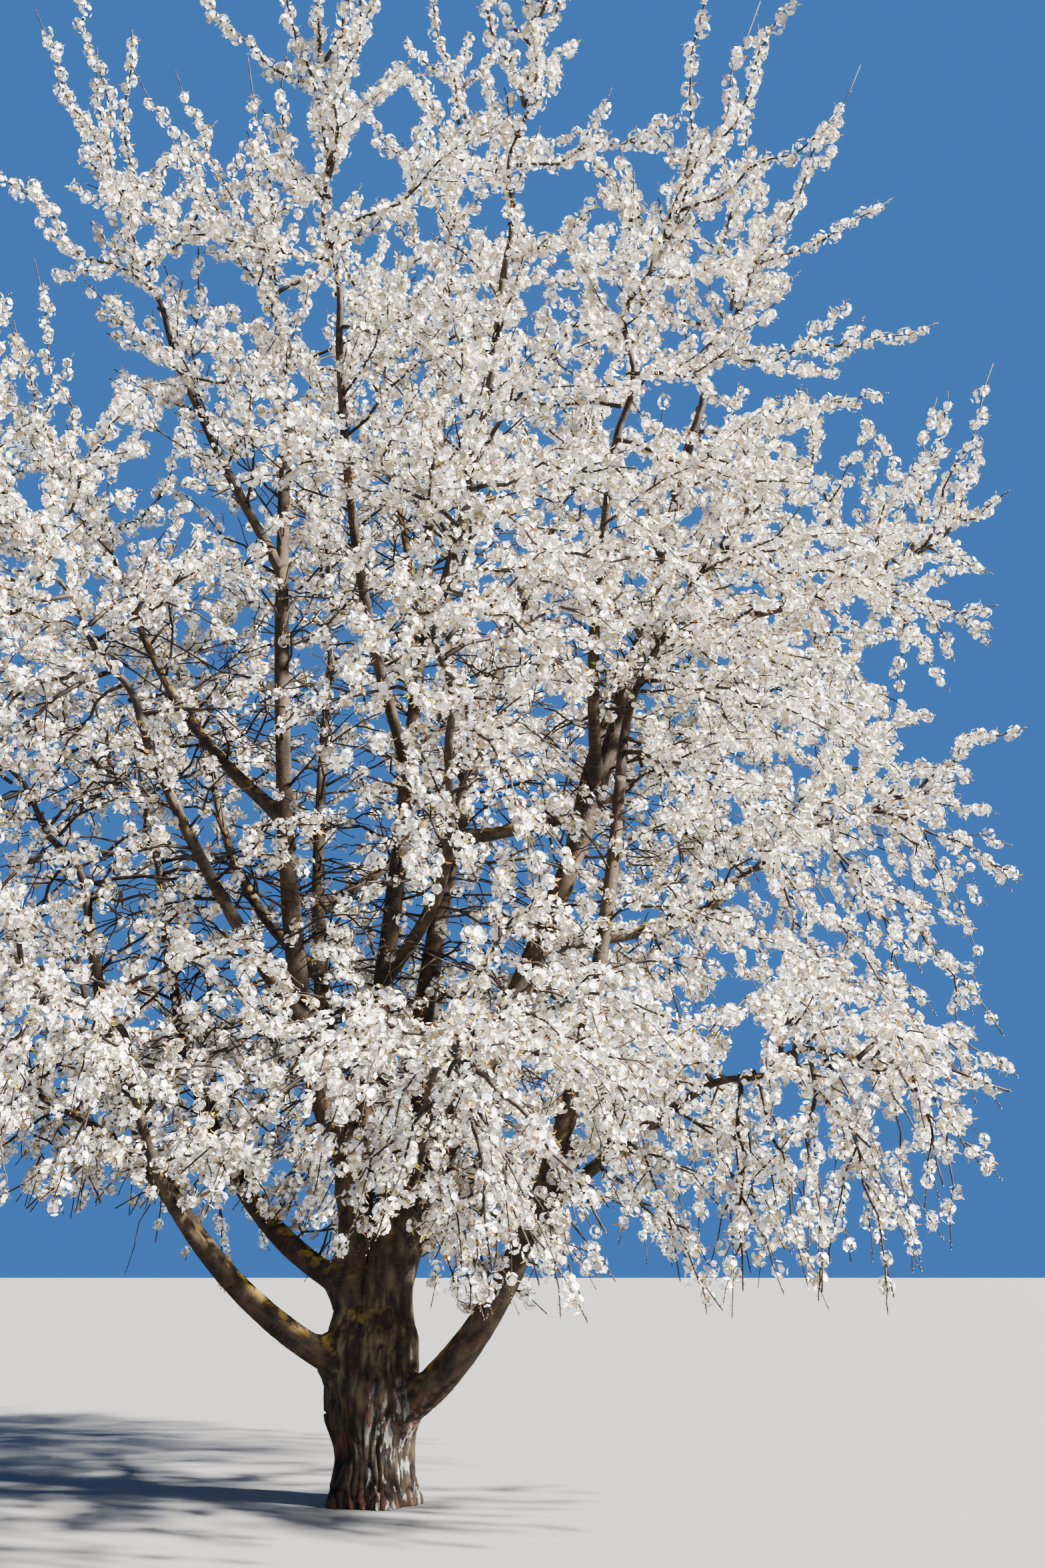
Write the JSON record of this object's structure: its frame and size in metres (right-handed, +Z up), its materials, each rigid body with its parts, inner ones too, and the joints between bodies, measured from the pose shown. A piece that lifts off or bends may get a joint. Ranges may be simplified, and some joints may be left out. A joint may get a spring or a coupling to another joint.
{
  "type": "cherry blossom tree",
  "caption": "Large sweet cherry tree in full white blossom, with a short buttressed trunk, two upright stems, arching leading limbs and a tall open crown of long blossoming shoots.",
  "frame": {"origin": "middle of the flat cut under the trunk, at ground level", "axes": "+Z up along the tree's height, +X to the right as seen from the front, +Y towards the back"},
  "size_m": [9.4136, 8.1029, 12.2107],
  "materials": {
    "bark": "rough furrowed bark, matte",
    "young_bark": "smooth ringed bark of younger limbs, satin to matte",
    "blossom": "thin white petals, matte"
  },
  "bodies": {
    "root": {"trunk": "bark", "left_stem": "bark", "right_stem": "bark", "left_low_bough": "bark", "right_low_bough": "bark", "centre_leader": "bark", "left_leader": "bark", "back_leader": "bark", "left_mid_bough": "bark", "right_leader": "bark", "back_right_leader": "bark", "back_low_bough": "bark", "front_bough": "bark", "left_low_side": "young_bark", "left_low_front": "young_bark", "left_mid_back": "young_bark", "right_low_side": "young_bark", "right_arching_bough": "young_bark", "back_low_side": "young_bark", "right_long_bough": "young_bark", "back_right_mid": "young_bark", "back_mid": "young_bark", "back_left_mid": "young_bark", "left_front_mid": "young_bark", "front_mid": "young_bark", "right_front_high": "young_bark", "left_high": "young_bark", "left_fork": "young_bark", "front_left_high": "young_bark", "front_high": "young_bark", "back_high": "young_bark", "left_low_bough_blossom": "blossom", "right_low_bough_blossom": "blossom", "centre_leader_blossom": "blossom", "left_leader_blossom": "blossom", "back_leader_blossom": "blossom", "left_mid_bough_blossom": "blossom", "right_leader_blossom": "blossom", "back_right_leader_blossom": "blossom", "back_low_bough_blossom": "blossom", "front_bough_blossom": "blossom", "left_low_side_blossom": "blossom", "left_low_front_blossom": "blossom", "left_mid_back_blossom": "blossom", "right_low_side_blossom": "blossom", "right_arching_bough_blossom": "blossom", "back_low_side_blossom": "blossom", "right_long_bough_blossom": "blossom", "back_right_mid_blossom": "blossom", "back_mid_blossom": "blossom", "back_left_mid_blossom": "blossom", "left_front_mid_blossom": "blossom", "front_mid_blossom": "blossom", "right_front_high_blossom": "blossom", "left_high_blossom": "blossom", "left_fork_blossom": "blossom", "front_left_high_blossom": "blossom", "front_high_blossom": "blossom", "back_high_blossom": "blossom"}
  },
  "joints": []
}
